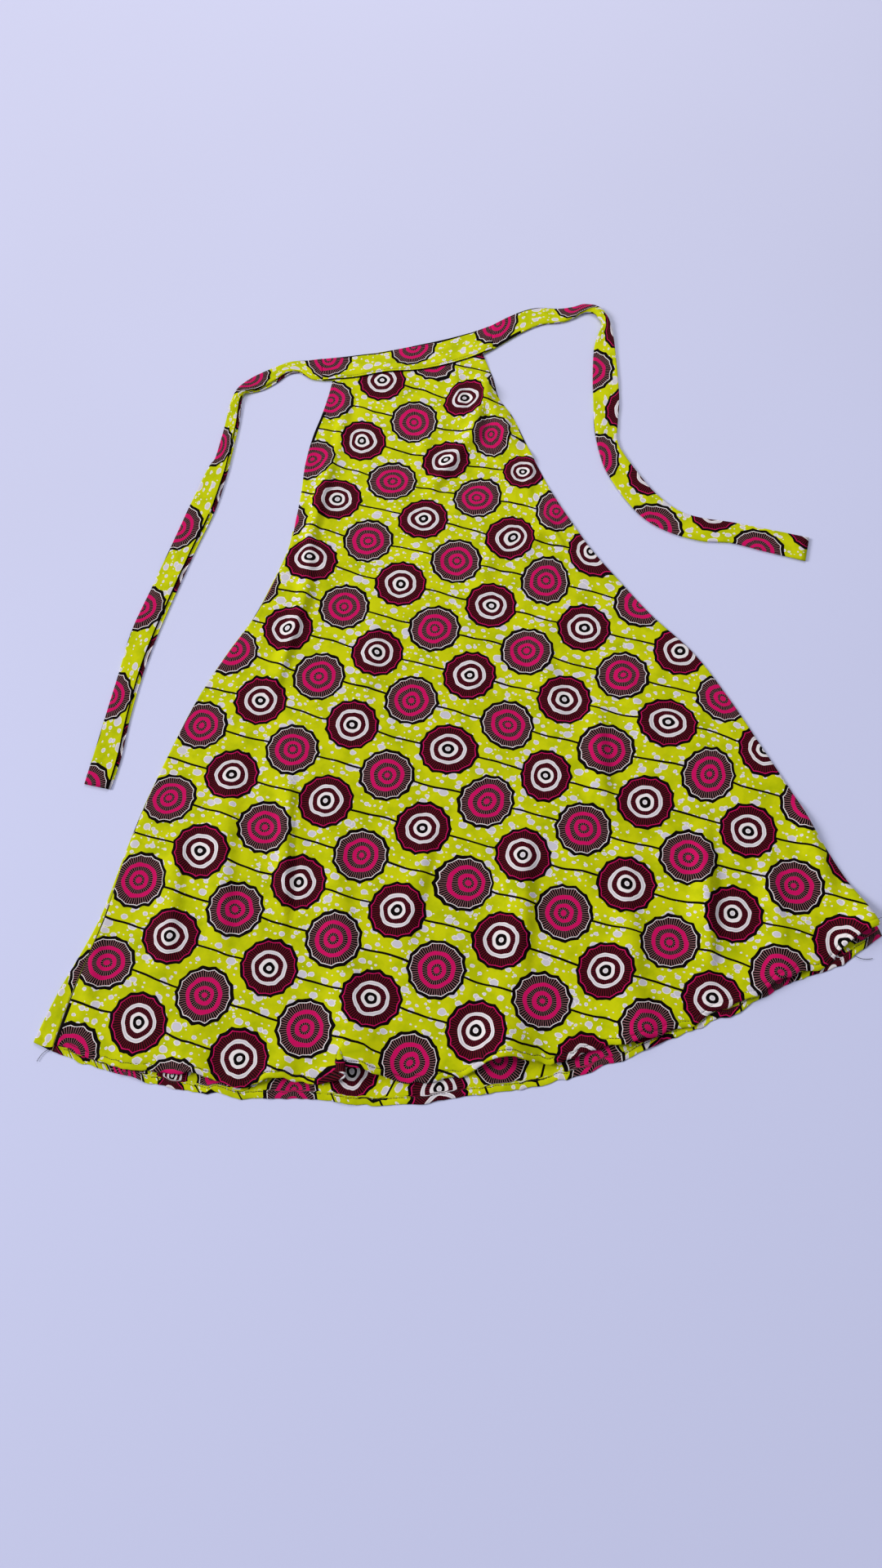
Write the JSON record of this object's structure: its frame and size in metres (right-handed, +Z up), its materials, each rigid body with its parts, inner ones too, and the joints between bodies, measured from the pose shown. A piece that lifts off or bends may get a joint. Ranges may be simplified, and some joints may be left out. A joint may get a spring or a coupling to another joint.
{
  "type": "ankara wax print dress",
  "caption": "Halter-neck A-line dress of wax print cotton, laid flat with the front up; a folded neck band encloses the front's top edge and runs on into long neck ties.",
  "frame": {"origin": "middle of the laid-out dress's outline, on the surface that it lies on", "axes": "+X across the dress to its right side as seen from above, +Y up the dress from hem to neck, +Z up from the surface"},
  "size_m": [1.0215, 1.149, 0.0116],
  "materials": {
    "front_cloth": "matt wax print cotton, lime ground with black, magenta, maroon and white discs",
    "back_cloth": "the same wax print cotton, inner side up where it shows",
    "band_cloth": "the same wax print cotton, folded in two and edge stitched",
    "tie_cloth": "the same wax print cotton, folded in two",
    "thread": "dark cotton sewing thread"
  },
  "bodies": {
    "root": {"front_panel": "front_cloth", "back_panel": "back_cloth", "neck_band": "band_cloth", "left_tie": "tie_cloth", "right_tie": "tie_cloth"}
  },
  "joints": []
}
